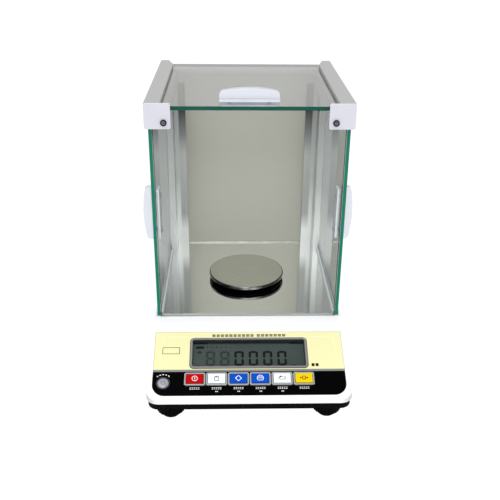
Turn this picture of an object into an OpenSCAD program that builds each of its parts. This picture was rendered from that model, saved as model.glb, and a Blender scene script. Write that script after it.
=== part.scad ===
// Analytical balance with a glass weighing chamber, in millimetres.
// The origin is on the table under the middle of the base. +X is right, +Y back, +Z up.

/* [Base] */
// Width across the base at its seam
base_w = 190; // [178:1:230]
// Depth of the base, front to back
base_d = 280; // [260:1:340]
// Height of the deck above the table
deck_z = 70; // [66:1:90]
// Height of the seam between shell and tray
seam_z = 29; // [28:0.5:31]
// Height of the tray's underside
tray_z = 22; // [20:0.5:22]
// Lean of each side wall between seam and deck
side_draft = 3; // [1:0.5:5]
// Wall of the shell and of the tray's rim
shell_wall = 2.5; // [2:0.1:3]
// Thickness of the tray's floor
tray_floor = 3; // [2.5:0.1:4]
// Corner radius of the base in plan
corner_r = 12; // [8:1:16]
// Setback of the tray from the shell above it
tray_inset = 1.5; // [0.5:0.1:2]

/* [Console] */
// Depth of the sloping console in plan
console_run = 85.5; // [84:0.5:100]
// Height of the console's front edge
nose_z = 33; // [32:0.5:35]
// Half width of the printed panel
overlay_half = 89.7; // [84:0.1:90.5]
// Panel's upper edge, down the slope from the deck
overlay_top = 18.4; // [12:0.1:20]
// Panel's lower edge, down the slope from the deck
overlay_bottom = 88; // [84:0.5:89]
// Thickness of the printed panel
overlay_t = 0.8; // [0.5:0.1:1]
// Width of the display's frame
display_w = 112; // [90:1:120]
// Height of the display's frame along the slope
display_h = 34.2; // [28:0.1:35]
// Display's upper edge, down the slope from the deck
display_top = 25.2; // [22:0.1:26]
// Width of the display frame's own border
display_border = 2.4; // [2.1:0.1:3.5]
// Corner radius of the display's frame
display_r = 4; // [3.8:0.1:6]

/* [Keys] */
// Width of one key frame
key_w = 19.4; // [16:0.1:19.8]
// Height of one key frame along the slope
key_h = 13.4; // [11:0.1:14]
// Spacing of the keys
key_pitch = 20.25; // [20.2:0.05:22]
// Keys' upper edge, down the slope from the deck
key_top = 64.4; // [63:0.1:66]
// Border of one key frame
key_border = 1.4; // [1:0.1:2]
// Corner radius of one key frame
key_r = 1.8; // [1:0.1:3]
// Travel of a key
key_travel = 0.8; // [0.4:0.1:1]
// Radius of the bubble level's cup
level_r = 6.4; // [5:0.1:7]
// Sideways place of the bubble level
level_x = -79.8; // [-81:0.1:-76]
// Bubble level's centre, down the slope from the deck
level_v = 74.7; // [70:0.1:76]

/* [Chamber] */
// Height from the deck to the top of the rails
chamber_h = 214.8; // [160:1:260]
// Distance from the doors' front edges to the end of the slope
front_setback = 1; // [0.8:0.1:3]
// Deck left behind the face of the rear wall
rear_shelf = 22.4; // [20:0.1:30]
// Thickness of the glass
glass_t = 3; // [2.5:0.5:4]
// Thickness of the stainless floor plate
floor_t = 0.8; // [0.6:0.1:1.5]
// Thickness of the rear panel
rear_panel_t = 2; // [1.5:0.1:2.5]
// Height of the lower door rails
lower_rail_h = 3.4; // [3:0.1:5]
// Width of a top rail
top_rail_w = 23; // [20:0.5:26]
// Height of a top rail
top_rail_h = 22.3; // [20:0.1:26]
// Ledge of a top rail under the top glass
rail_ledge = 3.5; // [3:0.1:5]
// Outer wall of a rail beside the door's groove
rail_lip = 2.3; // [2:0.1:3]
// Thickness of the rails' end caps
cap_t = 3; // [2:0.5:4]
// Width of a rear post's flange
post_flange_w = 14; // [10:0.5:18]
// Depth of a rear post's side leg, in front of the rear wall
post_leg_d = 22.6; // [16:0.1:30]

/* [Doors] */
// Length of a door handle
handle_len = 54; // [44:1:64]
// How far a handle stands out from its glass
handle_out = 11.6; // [9:0.1:15]
// Top handle's centre, back from the door's front edge
top_handle_setback = 21.4; // [12:0.1:30]
// Side handles' centres, back from the doors' front edges
side_handle_setback = 30; // [12:0.1:36]
// Width of a handle's foot on the glass
handle_foot_w = 12; // [9:0.5:14]
// Spacing of a handle's two screws
handle_screw_gap = 35; // [26:1:38]
// Height of the side handles above the deck
side_handle_h = 99.3; // [60:0.1:130]

/* [Pan] */
// Diameter of the weighing pan
pan_d = 80; // [60:1:90]
// Top of the pan above the deck
pan_h = 8.7; // [8.4:0.1:12]
// Depth of the pan's rolled lip
pan_lip = 3.1; // [2:0.1:4]
// Sheet thickness of the pan
pan_t = 0.8; // [0.6:0.1:1.2]
// Pan centre to the rear wall
pan_to_wall = 87.6; // [75:0.1:95]
// Diameter of the spindle that carries the pan
spindle_d = 12; // [8:0.5:14]
// Downward travel of the carrier when loaded
carrier_travel = 0.4; // [0.2:0.1:0.5]

/* [Feet] */
// Sideways place of the feet
foot_x = 74; // [66:1:78]
// Distance of the feet from the front and rear faces
foot_inset = 25; // [22:1:35]
// Radius of a levelling wheel
foot_wheel_r = 13.3; // [11:0.1:14]
// Radius of a foot's rubber pad
foot_pad_r = 11; // [9:0.5:12]
// Height of the rubber pad
foot_pad_h = 6; // [5:0.5:7]
// Diameter of the levelling screw
foot_screw_d = 8; // [6:0.5:9]

/* [Fits] */
// Gap between pieces that move past each other
gap = 0.3; // [0.2:0.05:0.4]
// Radial gap of a running fit
run = 0.05; // [0.02:0.01:0.1]

/* [Hidden] */
$fn = 64;

// Base and console
deck_half = base_w / 2 - side_draft;
front_y = -base_d / 2;
rear_y = base_d / 2;
slope_y = front_y + console_run;
slope = atan2(deck_z - nose_z, console_run);
tray_top = tray_z + tray_floor;

// Chamber, from the deck and the outer faces of the doors
door_front = slope_y + front_setback;
wall_y = rear_y - rear_shelf;
door_out = deck_half - rail_lip - gap;
door_in = door_out - glass_t;
rail_top = deck_z + chamber_h;
rail_low = rail_top - top_rail_h;
rail_inner = deck_half - top_rail_w;
rail_front = door_front - 4.2;
rail_rear = wall_y + 12.4;
top_glass_z = rail_top - 3.9 - glass_t;
top_glass_half = deck_half - 12;
top_step_x = top_glass_half - 2;
front_glass_y = door_front + 0.5;
front_glass_half = door_in - 0.5;
glass_slot = 2;
side_glass_z = deck_z + 1.2;
side_glass_top = top_glass_z - 2.9;
door_rear = rail_rear - 1;
post_out = door_in - 0.4;
post_in = post_out - 6.5;
post_wall = 2;
panel_y = wall_y + post_wall;
lower_rail_in = door_in - gap - 1.8;
cap_screw_x = rail_inner + 6;
cap_screw_z = rail_low + 5.8;
post_screw_x = (post_in + post_out) / 2;

// Pan and its carrier
pan_y = wall_y - pan_to_wall;
pan_top = deck_z + pan_h;
pan_under = pan_top - pan_t;
spindle_top = pan_under - 1.3;
bracket_z = deck_z - 9;
bracket_t = 3;
cell_w = 30;
cell_h = 22;
cell_len = 110;
cell_top = bracket_z - 2;
cell_front = pan_y - cell_len / 2;
chassis_z = tray_top + 3;
chassis_t = 5;
chassis_half = 55;
chassis_front = pan_y - 60;
chassis_rear = pan_y + 70;

// Panel pieces
board_gap = 9;
board_t = 1.6;
board_half = 68;
main_board_d = 60;
main_board_rear = chassis_front - 8;
main_board_z = tray_top + 6;
key_centre = key_top + key_h / 2;
key_stem_r = 1.7;
switch_h = 3.5;

// Handles and fasteners
side_handle_y = door_front + side_handle_setback;
top_handle_y = door_front + top_handle_setback;
handle_z = deck_z + side_handle_h;
handle_base_t = 2.5;
handle_fin_t = 6;
handle_round = 4;
handle_crown = 3;
backing_t = 1.5;
screw_r = 1.5;
head_r = 2.8;
head_h = 1.6;
boss_r = 4.5;
case_boss_x = base_w / 2 - 13;
case_boss_front = front_y + 45;
case_boss_rear = rear_y - 12;
foot_front = front_y + foot_inset;
foot_rear = rear_y - foot_inset;
foot_boss_z = tray_z - 8;
foot_wheel_top = foot_boss_z - gap;
nut_h = 8;
nut_r = 6.5;
port_z = deck_z - 24;
inlet_x = 55;
inlet_r = 5.5;
serial_x = 12;

// Rounded rectangle about the origin
module plan(w, d, r) {
    square([w - 2 * r, d], center = true);
    square([w, d - 2 * r], center = true);
    for (x = [-1, 1], y = [-1, 1])
        translate([x * (w / 2 - r), y * (d / 2 - r)]) circle(r);
}

// Box from its lowest corner to its highest
module block(a, b) {
    translate(a) cube(b - a);
}

// The children on the slope: x across, -y down the slope, z out of the panel
module on_slope() {
    translate([0, slope_y, deck_z]) rotate([slope, 0, 0]) children();
}

// Rectangle on the slope, by its width and its upper and lower edges
module slope_plate(w, v0, v1, n0, n1) {
    block([-w / 2, -v1, n0], [w / 2, -v0, n1]);
}

// Rounded rectangle on the slope, by its width, edges and corner radius
module slope_pad(w, v0, v1, r, n0, n1) {
    translate([0, -(v0 + v1) / 2, n0]) linear_extrude(n1 - n0) plan(w, v1 - v0, r);
}

// The six key places on the slope
module at_keys() {
    for (i = [0 : 5]) at_key(i) children();
}

module at_key(i) {
    on_slope() translate([(i - 2.5) * key_pitch, -key_centre, 0]) children();
}

// Prism with the rounded outline of a key, grown or shrunk all round
module key_pad(grow, n0, n1) {
    translate([0, 0, n0]) linear_extrude(n1 - n0)
        plan(key_w + 2 * grow, key_h + 2 * grow, max(0.3, key_r + grow));
}

// The four case screws
module at_case_screws() {
    for (x = [-1, 1], y = [case_boss_front, case_boss_rear])
        translate([x * case_boss_x, y, 0]) children();
}

// Outline of the shell drawn in by an inset, down to a given height
module envelope(inset, low) {
    half = base_w / 2 - inset;
    nose_y = front_y + inset;
    slope_at_nose = deck_z - inset / cos(slope) + (nose_y - slope_y) * tan(slope);
    intersection() {
        translate([0, 0, low]) linear_extrude(deck_z)
            plan(2 * half, base_d - 2 * inset, corner_r - inset);
        rotate([90, 0, 90]) linear_extrude(base_w + 2, center = true)
            polygon([[nose_y, low], [rear_y - inset, low], [rear_y - inset, deck_z - inset],
                [slope_y + inset * tan(slope / 2), deck_z - inset], [nose_y, slope_at_nose]]);
        rotate([90, 0, 0]) linear_extrude(base_d + 2, center = true)
            polygon([[-half, low], [half, low], [half, nose_z], [deck_half - inset, deck_z],
                [inset - deck_half, deck_z], [-half, nose_z]]);
    }
}

// Outline of the printed panel, grown by a clearance, with large lower corners
module overlay_outline(grow) {
    half = overlay_half + grow;
    r = corner_r;
    top = -overlay_top + grow;
    low = -overlay_bottom - grow;
    translate([-half, low + r]) square([2 * half, top - low - r]);
    translate([r - half, low]) square([2 * half - 2 * r, r]);
    for (x = [-1, 1]) translate([x * (half - r), low + r]) circle(r);
}

module upper_shell() {
    color("white") difference() {
        union() {
            difference() {
                envelope(0, seam_z);
                envelope(shell_wall, seam_z - 1);
            }
            intersection() {
                envelope(shell_wall / 2, seam_z);
                union() {
                    at_case_screws() cylinder(h = deck_z, r = boss_r);
                    block([-door_in, front_glass_y - 2.5, deck_z - glass_slot - 4],
                        [door_in, front_glass_y + glass_t + 2.5, deck_z]);
                    on_slope() for (x = [-1, 1], v = [24, 78])
                        translate([x * (board_half - 4), -v, -board_gap]) cylinder(h = board_gap, r = 3);
                }
            }
        }
        // slot that the front glass stands in
        block([-front_glass_half - gap, front_glass_y - gap, deck_z - glass_slot],
            [front_glass_half + gap, front_glass_y + glass_t + gap, deck_z + 1]);
        translate([0, pan_y, deck_z - 10]) cylinder(h = 20, r = spindle_d / 2 + 6);
        // recess for the printed panel, and the openings under it
        on_slope() {
            translate([0, 0, -overlay_t]) linear_extrude(5) overlay_outline(gap);
            slope_pad(display_w + 2 * gap, display_top - gap, display_top + display_h + gap,
                display_r + gap, -8, 1);
            translate([level_x, -level_v, -8]) cylinder(h = 9, r = level_r + gap);
        }
        at_keys() key_pad(-key_border, -6, 6);
        at_case_screws() translate([0, 0, seam_z - 1]) cylinder(h = 13, r = screw_r + run);
        // sockets in the rear wall
        translate([inlet_x, rear_y + 1, port_z]) rotate([90, 0, 0]) cylinder(h = 8, r = inlet_r + gap);
        block([serial_x - 9, rear_y - 8, port_z - 5], [serial_x + 9, rear_y + 1, port_z + 5]);
    }
}

module bottom_tray() {
    w = base_w - 2 * tray_inset;
    d = base_d - 2 * tray_inset;
    r = corner_r - tray_inset;
    color("black") difference() {
        union() {
            difference() {
                translate([0, 0, tray_z]) linear_extrude(seam_z - tray_z) plan(w, d, r);
                translate([0, 0, tray_top]) linear_extrude(seam_z)
                    plan(w - 2 * shell_wall, d - 2 * shell_wall, r - shell_wall);
            }
            for (x = [-foot_x, foot_x], y = [foot_front, foot_rear])
                translate([x, y, foot_boss_z]) cylinder(h = tray_z - foot_boss_z + 0.01, r = 9);
            for (x = [-foot_x, foot_x])
                translate([x, foot_front, tray_z]) cylinder(h = tray_floor + 5, r = 9);
            at_case_screws() translate([0, 0, tray_z]) cylinder(h = seam_z - tray_z, r = boss_r);
            for (x = [-1, 1], y = [main_board_rear - 6, main_board_rear - main_board_d + 6])
                translate([x * (board_half - 4), y, tray_z]) cylinder(h = main_board_z - tray_z, r = 3.5);
        }
        for (x = [-foot_x, foot_x]) translate([x, foot_front, 0]) {
            cylinder(h = deck_z, r = foot_screw_d / 2 + gap);
            translate([0, 0, tray_z + 1]) cylinder(h = deck_z, r = nut_r);
        }
        at_case_screws() {
            cylinder(h = deck_z, r = screw_r + gap);
            cylinder(h = tray_z + 2.5, r = head_r + gap);
        }
    }
}

module foot_nuts() {
    color("gold") for (x = [-foot_x, foot_x])
        translate([x, foot_front, tray_z + 1]) difference() {
            cylinder(h = nut_h, r = nut_r - run);
            translate([0, 0, -1]) cylinder(h = nut_h + 2, r = foot_screw_d / 2 + run);
        }
}

// Levelling wheel with finger grooves, its screw upwards and its pin downwards
module foot_wheel(x) {
    low = foot_pad_h + gap;
    color("black") translate([x, foot_front, 0]) {
        difference() {
            translate([0, 0, low]) cylinder(h = foot_wheel_top - low, r = foot_wheel_r);
            for (a = [0 : 15 : 345]) rotate(a)
                translate([foot_wheel_r + 0.3, 0, 0]) cylinder(h = deck_z, r = 0.8);
        }
        translate([0, 0, low]) cylinder(h = tray_z + nut_h + 3 - low, r = foot_screw_d / 2);
        translate([0, 0, 2.5]) cylinder(h = foot_pad_h, r = 3);
    }
}

module foot_pad(x) {
    color("dimgray") translate([x, foot_front, 0]) difference() {
        cylinder(h = foot_pad_h, r1 = foot_pad_r - 3.5, r2 = foot_pad_r);
        translate([0, 0, 2]) cylinder(h = foot_pad_h, r = 3 + run);
    }
}

module rear_feet() {
    color("dimgray") for (x = [-foot_x, foot_x])
        translate([x, foot_rear, 0]) cylinder(h = foot_boss_z, r1 = foot_pad_r - 3.5, r2 = foot_pad_r);
}

module case_screws() {
    color("silver") at_case_screws() {
        translate([0, 0, tray_z + 0.5]) cylinder(h = 2, r = head_r);
        translate([0, 0, tray_z + 2]) cylinder(h = seam_z - tray_z + 8, r = screw_r);
    }
}

module sub_chassis() {
    color("gainsboro") {
        block([-chassis_half, chassis_front, chassis_z], [chassis_half, chassis_rear, chassis_z + chassis_t]);
        for (x = [-1, 1], y = [chassis_front + 8, chassis_rear - 8])
            translate([x * (chassis_half - 8), y, tray_top]) cylinder(h = chassis_z - tray_top + 1, r = 6);
        block([-cell_w / 2, cell_front + cell_len - 25, chassis_z],
            [cell_w / 2, cell_front + cell_len, cell_top - cell_h]);
    }
}

// Beam with the twin bores of a single-point cell
module load_cell() {
    bore_r = 7;
    bore_gap = 24;
    mid_z = cell_top - cell_h / 2;
    color("silver") difference() {
        block([-cell_w / 2, cell_front, cell_top - cell_h], [cell_w / 2, cell_front + cell_len, cell_top]);
        for (y = [-1, 1]) translate([0, pan_y + y * bore_gap / 2, mid_z])
            rotate([0, 90, 0]) cylinder(h = cell_w + 2, r = bore_r, center = true);
        block([-cell_w, pan_y - bore_gap / 2, mid_z - 2], [cell_w, pan_y + bore_gap / 2, mid_z + 2]);
    }
}

module load_bracket() {
    color("silver") {
        block([-cell_w / 2, cell_front, cell_top + carrier_travel + 0.05],
            [cell_w / 2, cell_front + 20, bracket_z + bracket_t]);
        block([-28, cell_front, bracket_z], [28, pan_y + 16, bracket_z + bracket_t]);
        translate([0, pan_y, bracket_z]) cylinder(h = spindle_top - bracket_z, r = spindle_d / 2);
    }
}

// Screws under the bracket that stop it when it is overloaded
module overload_stops() {
    color("gray") for (x = [-22, 22]) translate([x, pan_y, chassis_z + chassis_t])
        cylinder(h = bracket_z - carrier_travel - 0.2 - chassis_z - chassis_t, r = 4);
}

module pan_support() {
    hub_low = deck_z + 2;
    rim_r = pan_d / 2 - 2.5;
    color("black") translate([0, pan_y, 0]) difference() {
        union() {
            translate([0, 0, pan_under - 4.7]) cylinder(h = 4.7, r = rim_r);
            translate([0, 0, hub_low]) cylinder(h = pan_under - hub_low, r = spindle_d / 2 + 4);
        }
        translate([0, 0, hub_low - 1]) cylinder(h = spindle_top + gap - hub_low + 1, r = spindle_d / 2 + run);
    }
}

// Shallow dish turned upside down, with its lip rolled over
module weighing_pan() {
    r = pan_d / 2;
    edge = 1.2;
    color("lightgray") translate([0, pan_y, 0]) rotate_extrude() difference() {
        union() {
            translate([0, pan_under]) square([r - edge, pan_t]);
            translate([r - edge, pan_top - edge]) circle(edge);
            translate([r - pan_t, pan_top - pan_lip]) square([pan_t, pan_lip - edge]);
        }
        translate([0, pan_top - pan_lip - 1]) square([r - pan_t, pan_lip + 1 - pan_t]);
    }
}

module main_board() {
    z = main_board_z;
    back = main_board_rear;
    color("darkgreen") {
        block([-board_half, back - main_board_d, z], [board_half, back, z + board_t]);
        block([-50, back - 26, z], [-10, back - 8, z + 12]);
        block([10, back - 40, z], [34, back - 16, z + 4]);
        for (x = [44, 54]) translate([x, back - 14, z]) cylinder(h = 14, r = 4);
    }
}

module power_inlet() {
    color("black") difference() {
        translate([inlet_x, 0, port_z]) {
            translate([0, rear_y - 0.4, 0]) rotate([90, 0, 0]) cylinder(h = 18, r = inlet_r);
            translate([0, rear_y - shell_wall, 0]) rotate([90, 0, 0]) cylinder(h = 3, r = inlet_r + 2.5);
        }
        translate([inlet_x, rear_y, port_z]) rotate([90, 0, 0]) difference() {
            cylinder(h = 10, r = 3.2);
            translate([0, 0, 1]) cylinder(h = 10, r = 1);
        }
    }
}

module serial_port() {
    color("silver") difference() {
        union() {
            block([serial_x - 15.4, rear_y - shell_wall - 1, port_z - 6.2],
                [serial_x + 15.4, rear_y - shell_wall, port_z + 6.2]);
            block([serial_x - 8.5, rear_y - 15, port_z - 4.5], [serial_x + 8.5, rear_y - 0.4, port_z + 4.5]);
        }
        block([serial_x - 7.7, rear_y - 6, port_z - 3.7], [serial_x + 7.7, rear_y, port_z + 3.7]);
    }
}

module display_board() {
    color("darkgreen") on_slope() slope_plate(2 * board_half, 21, 81, -board_gap - board_t, -board_gap);
}

module key_switches() {
    color("dimgray") at_keys() difference() {
        translate([-3, -3, -board_gap]) cube([6, 6, switch_h]);
        translate([0, 0, 0.3 - board_gap]) cylinder(h = board_gap, r = key_stem_r + 0.15);
    }
}

module lcd_module() {
    color("darkslategray") on_slope() slope_plate(display_w - 4, display_top + 2,
        display_top + display_h - 2, -board_gap, -3.2);
}

module display_window() {
    inner = display_border + 0.1;
    color("slategray") on_slope() slope_pad(display_w - 2 * inner, display_top + inner,
        display_top + display_h - inner, display_r - inner, -2.8, -1);
}

module display_bezel() {
    color("gray") on_slope() difference() {
        slope_pad(display_w, display_top, display_top + display_h, display_r, -2.8, 0.5);
        slope_pad(display_w - 2 * display_border, display_top + display_border,
            display_top + display_h - display_border, display_r - display_border, -4, 2);
    }
}

module panel_overlay() {
    color("lightyellow") difference() {
        on_slope() translate([0, 0, -overlay_t]) linear_extrude(overlay_t) overlay_outline(0);
        on_slope() {
            slope_pad(display_w + 2 * gap, display_top - gap, display_top + display_h + gap,
                display_r + gap, -4, 4);
            translate([level_x, -level_v, -4]) cylinder(h = 8, r = level_r + gap);
        }
        at_keys() key_pad(0.2, -4, 4);
    }
}

module key_frames() {
    color("silver") at_keys() difference() {
        key_pad(0, -overlay_t, 1.2);
        key_pad(-key_border, -4, 4);
    }
}

// Key cap, its captive flange under the shell and its stem down to the switch
module key_cap(i, tint) {
    flange_n = -shell_wall - gap - 1;
    color(tint) at_key(i) {
        key_pad(-key_border - 0.4, flange_n, 1.9);
        key_pad(0.6 - key_border, flange_n, flange_n + 1);
        translate([0, 0, key_travel + 1 - board_gap])
            cylinder(h = board_gap - key_travel - 2, r = key_stem_r);
    }
}

module power_key() { key_cap(0, "red"); }
module calibrate_key() { key_cap(1, "white"); }
module mode_key() { key_cap(2, "royalblue"); }
module print_key() { key_cap(3, "royalblue"); }
module unit_key() { key_cap(4, "white"); }
module tare_key() { key_cap(5, "gold"); }

module level_cup() {
    color("gray") on_slope() translate([level_x, -level_v, -5.5]) difference() {
        cylinder(h = 5.8, r = level_r);
        translate([0, 0, 1]) cylinder(h = 6, r = level_r - 1);
    }
}

module level_lens() {
    color("lavender") on_slope() translate([level_x, -level_v, -4.5])
        cylinder(h = 4.9, r = level_r - 1 - run);
}

module chamber_floor() {
    half = lower_rail_in - gap;
    post_front = wall_y - post_leg_d - gap;
    color("gainsboro") difference() {
        block([-half, front_glass_y + glass_t + 2 * gap, deck_z], [half, wall_y, deck_z + floor_t]);
        for (x = [-1, 1]) scale([x, 1, 1])
            block([post_in - gap, post_front, deck_z - 1], [half + 1, wall_y + 1, deck_z + 2]);
        translate([0, pan_y, deck_z - 1]) cylinder(h = 4, r = spindle_d / 2 + 3);
    }
}

// Channel along the floor that the rear panel stands in
module rear_sill() {
    half = post_in - post_flange_w + 1.2;
    color("silver") difference() {
        block([-half, wall_y, deck_z], [half, panel_y + rear_panel_t + 2.2, deck_z + 2.2]);
        block([-half - 1, panel_y - 0.2, deck_z + 1.2],
            [half + 1, panel_y + rear_panel_t + 0.2, deck_z + 4]);
    }
}

// Channel on the deck that a side door runs in
module lower_rail() {
    color("silver") difference() {
        block([lower_rail_in, door_front - 0.5, deck_z],
            [deck_half - 0.5, rail_rear + 1, deck_z + lower_rail_h]);
        block([door_in - gap, door_front - 1, side_glass_z - gap],
            [door_out + gap, rail_rear + 2, deck_z + 10]);
        block([lower_rail_in - 1, door_front - 1, deck_z - 1],
            [door_in - gap, front_glass_y + glass_t + 2 * gap, deck_z + 10]);
        block([lower_rail_in - 1, wall_y - post_leg_d - gap, deck_z - 1],
            [door_in - gap, rail_rear + 2, deck_z + 10]);
    }
}

// Corner extrusion: side leg, front flange, and the rear panel's groove
module rear_post() {
    flange_in = post_in + 1.5 - post_flange_w;
    back = panel_y + rear_panel_t + 0.2 + post_wall;
    color("silver") difference() {
        union() {
            block([post_in, wall_y - post_leg_d, deck_z], [post_out, back, rail_low]);
            block([flange_in, wall_y, deck_z], [post_out, back, rail_low]);
        }
        block([flange_in - 1, panel_y - 0.2, deck_z - 1],
            [post_in - 0.2, panel_y + rear_panel_t + 0.2, rail_low + 1]);
        block([post_in + 1.8, wall_y - post_leg_d + 8, deck_z - 1],
            [post_out - 1.8, wall_y - 3, rail_low + 1]);
        translate([post_screw_x, wall_y - post_leg_d + 4, deck_z - 1])
            cylinder(h = chamber_h, r = screw_r + run);
    }
}

module rear_panel() {
    color("darkgray") block([-top_step_x + gap, panel_y, deck_z + 1.2],
        [top_step_x - gap, panel_y + rear_panel_t, top_glass_z - 2.7]);
}

// Bar across the top of the rear panel, lipped over its front
module rear_top_bar() {
    top = top_glass_z - 0.4;
    back = panel_y + rear_panel_t + 0.2;
    color("silver") difference() {
        block([-top_step_x, wall_y, rail_low], [top_step_x, rail_rear, top]);
        block([-top_step_x - 1, wall_y - 1, rail_low - 1], [top_step_x + 1, panel_y - 0.2, top - 4.2]);
        block([-top_step_x - 1, panel_y - 0.3, rail_low - 1], [top_step_x + 1, back, top - 2]);
        block([-top_step_x - 1, back + 2, rail_low - 1], [top_step_x + 1, rail_rear + 1, top - 2]);
    }
}

// Extrusion along the top: the side door hangs in its groove and the top door lies on its ledge
module top_rail() {
    groove_in = door_in - gap;
    core_in = rail_inner + 10;
    front_slot_back = front_glass_y + glass_t + gap;
    color("whitesmoke") difference() {
        block([rail_inner, rail_front, rail_low], [deck_half, rail_rear, rail_top]);
        // step and groove for the top glass
        block([rail_inner - 1, rail_front - 1, top_glass_z - gap], [top_step_x, rail_rear + 1, rail_top + 1]);
        block([rail_inner - 1, rail_front - 1, top_glass_z - gap],
            [top_glass_half + 0.6, rail_rear + 1, top_glass_z + glass_t + gap]);
        // groove for the side glass
        block([groove_in, rail_front - 1, rail_low - 1], [door_out + gap, rail_rear + 1, side_glass_top + 1]);
        // hollow core and the end cap's screw port
        block([core_in, rail_front - 1, rail_low + 2.5],
            [groove_in - 2.5, rail_rear + 1, top_glass_z - gap - 2]);
        translate([cap_screw_x, rail_front - 1, cap_screw_z]) rotate([-90, 0, 0])
            cylinder(h = front_glass_y - rail_front + 1, r = screw_r + run);
        // saw cut that holds the front glass
        block([rail_inner - 1, front_glass_y - gap, rail_low - 1],
            [front_glass_half + gap, front_slot_back, top_glass_z - gap]);
        // behind the front glass only a narrow ledge is left under the top glass
        block([rail_inner - 1, front_slot_back - 0.1, rail_low - 1],
            [top_step_x - rail_ledge, rail_rear + 1, rail_top + 1]);
        // room for the rear bar
        block([rail_inner - 1, wall_y, rail_low - 1], [top_step_x, rail_rear + 1, rail_top + 1]);
        // slanted end of the lip over the top glass
        translate([0, 0, top_glass_z + glass_t]) linear_extrude(rail_top)
            polygon([[top_step_x - 1, rail_rear - 24], [top_step_x + 6, rail_rear + 1],
                [top_step_x - 1, rail_rear + 1]]);
    }
}

module end_cap() {
    r = 1.5;
    color("white") difference() {
        translate([(rail_inner + deck_half) / 2, rail_front, (rail_low + rail_top) / 2]) rotate([90, 0, 0])
            linear_extrude(cap_t) plan(top_rail_w, top_rail_h, r);
        translate([cap_screw_x, rail_front + 1, cap_screw_z]) rotate([90, 0, 0])
            cylinder(h = cap_t + 2, r = screw_r + gap);
    }
}

module cap_screws() {
    seat_y = rail_front - cap_t;
    color("dimgray") for (x = [-1, 1]) translate([x * cap_screw_x, seat_y, cap_screw_z]) {
        rotate([90, 0, 0]) cylinder(h = head_h, r = head_r);
        rotate([-90, 0, 0]) cylinder(h = front_glass_y - gap - seat_y, r = screw_r);
    }
}

module front_glass() {
    color("lightcyan", 0.4) block([-front_glass_half, front_glass_y, deck_z - glass_slot],
        [front_glass_half, front_glass_y + glass_t, top_glass_z - 0.4]);
}

// The two holes of a handle: x is out of the glass, z runs along the handle
module handle_holes(r, h0, h1) {
    for (z = [-1, 1]) translate([h0, 0, z * handle_screw_gap / 2])
        rotate([0, 90, 0]) cylinder(h = h1 - h0, r = r);
}

// Handle with a crowned fin, standing on x = 0
module handle() {
    half = handle_len / 2;
    r = handle_round;
    crown_r = (half * half + handle_crown * handle_crown) / (2 * handle_crown);
    shoulder = handle_out - handle_crown - r + 0.8;
    color("white") difference() {
        union() {
            block([0, -handle_foot_w / 2, -half], [handle_base_t, handle_foot_w / 2, half]);
            rotate([90, 0, 0]) linear_extrude(handle_fin_t, center = true) intersection() {
                translate([handle_out - crown_r, 0]) circle(crown_r, $fn = 240);
                translate([0, -half]) square([handle_out, 2 * half]);
                union() {
                    translate([0, -half]) square([shoulder, 2 * half]);
                    translate([0, r - half]) square([handle_out, 2 * half - 2 * r]);
                    for (z = [-1, 1]) translate([shoulder, z * (half - r)]) circle(r);
                }
            }
        }
        handle_holes(screw_r + run, -1, 8.5);
    }
}

module handle_backing() {
    color("white") difference() {
        block([-glass_t - backing_t, -handle_foot_w / 2, 2 - handle_len / 2],
            [-glass_t, handle_foot_w / 2, handle_len / 2 - 2]);
        handle_holes(screw_r + gap, -glass_t - backing_t - 1, 0);
    }
}

module handle_screws() {
    seat = -glass_t - backing_t;
    color("dimgray") {
        handle_holes(head_r, seat - head_h, seat);
        handle_holes(screw_r, seat - 0.5, 8);
    }
}

// Places of the three handles
module at_side_handle() {
    translate([door_out, side_handle_y, handle_z]) children();
}

module at_top_handle() {
    translate([0, top_handle_y, top_glass_z + glass_t]) rotate([0, -90, 0]) children();
}

module side_door_glass() {
    color("lightcyan", 0.4) difference() {
        block([door_in, door_front, side_glass_z], [door_out, door_rear, side_glass_top]);
        at_side_handle() handle_holes(screw_r + gap, -glass_t - 1, 1);
    }
}

module flip() {
    mirror([1, 0, 0]) children();
}

module left_foot_wheel() { foot_wheel(-foot_x); }
module right_foot_wheel() { foot_wheel(foot_x); }
module left_foot_pad() { foot_pad(-foot_x); }
module right_foot_pad() { foot_pad(foot_x); }
module left_lower_rail() { flip() lower_rail(); }
module right_lower_rail() { lower_rail(); }
module left_rear_post() { flip() rear_post(); }
module right_rear_post() { rear_post(); }
module left_top_rail() { flip() top_rail(); }
module right_top_rail() { top_rail(); }
module left_end_cap() { flip() end_cap(); }
module right_end_cap() { end_cap(); }
module left_door_glass() { flip() side_door_glass(); }
module left_door_handle() { flip() at_side_handle() handle(); }
module left_door_backing() { flip() at_side_handle() handle_backing(); }
module left_door_screws() { flip() at_side_handle() handle_screws(); }
module right_door_glass() { side_door_glass(); }
module right_door_handle() { at_side_handle() handle(); }
module right_door_backing() { at_side_handle() handle_backing(); }
module right_door_screws() { at_side_handle() handle_screws(); }
module top_door_handle() { at_top_handle() handle(); }
module top_door_backing() { at_top_handle() handle_backing(); }
module top_door_screws() { at_top_handle() handle_screws(); }

module top_door_glass() {
    color("lightcyan", 0.4) difference() {
        block([-top_glass_half, door_front, top_glass_z], [top_glass_half, door_rear, top_glass_z + glass_t]);
        at_top_handle() handle_holes(screw_r + gap, -glass_t - 1, 1);
    }
}

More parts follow.
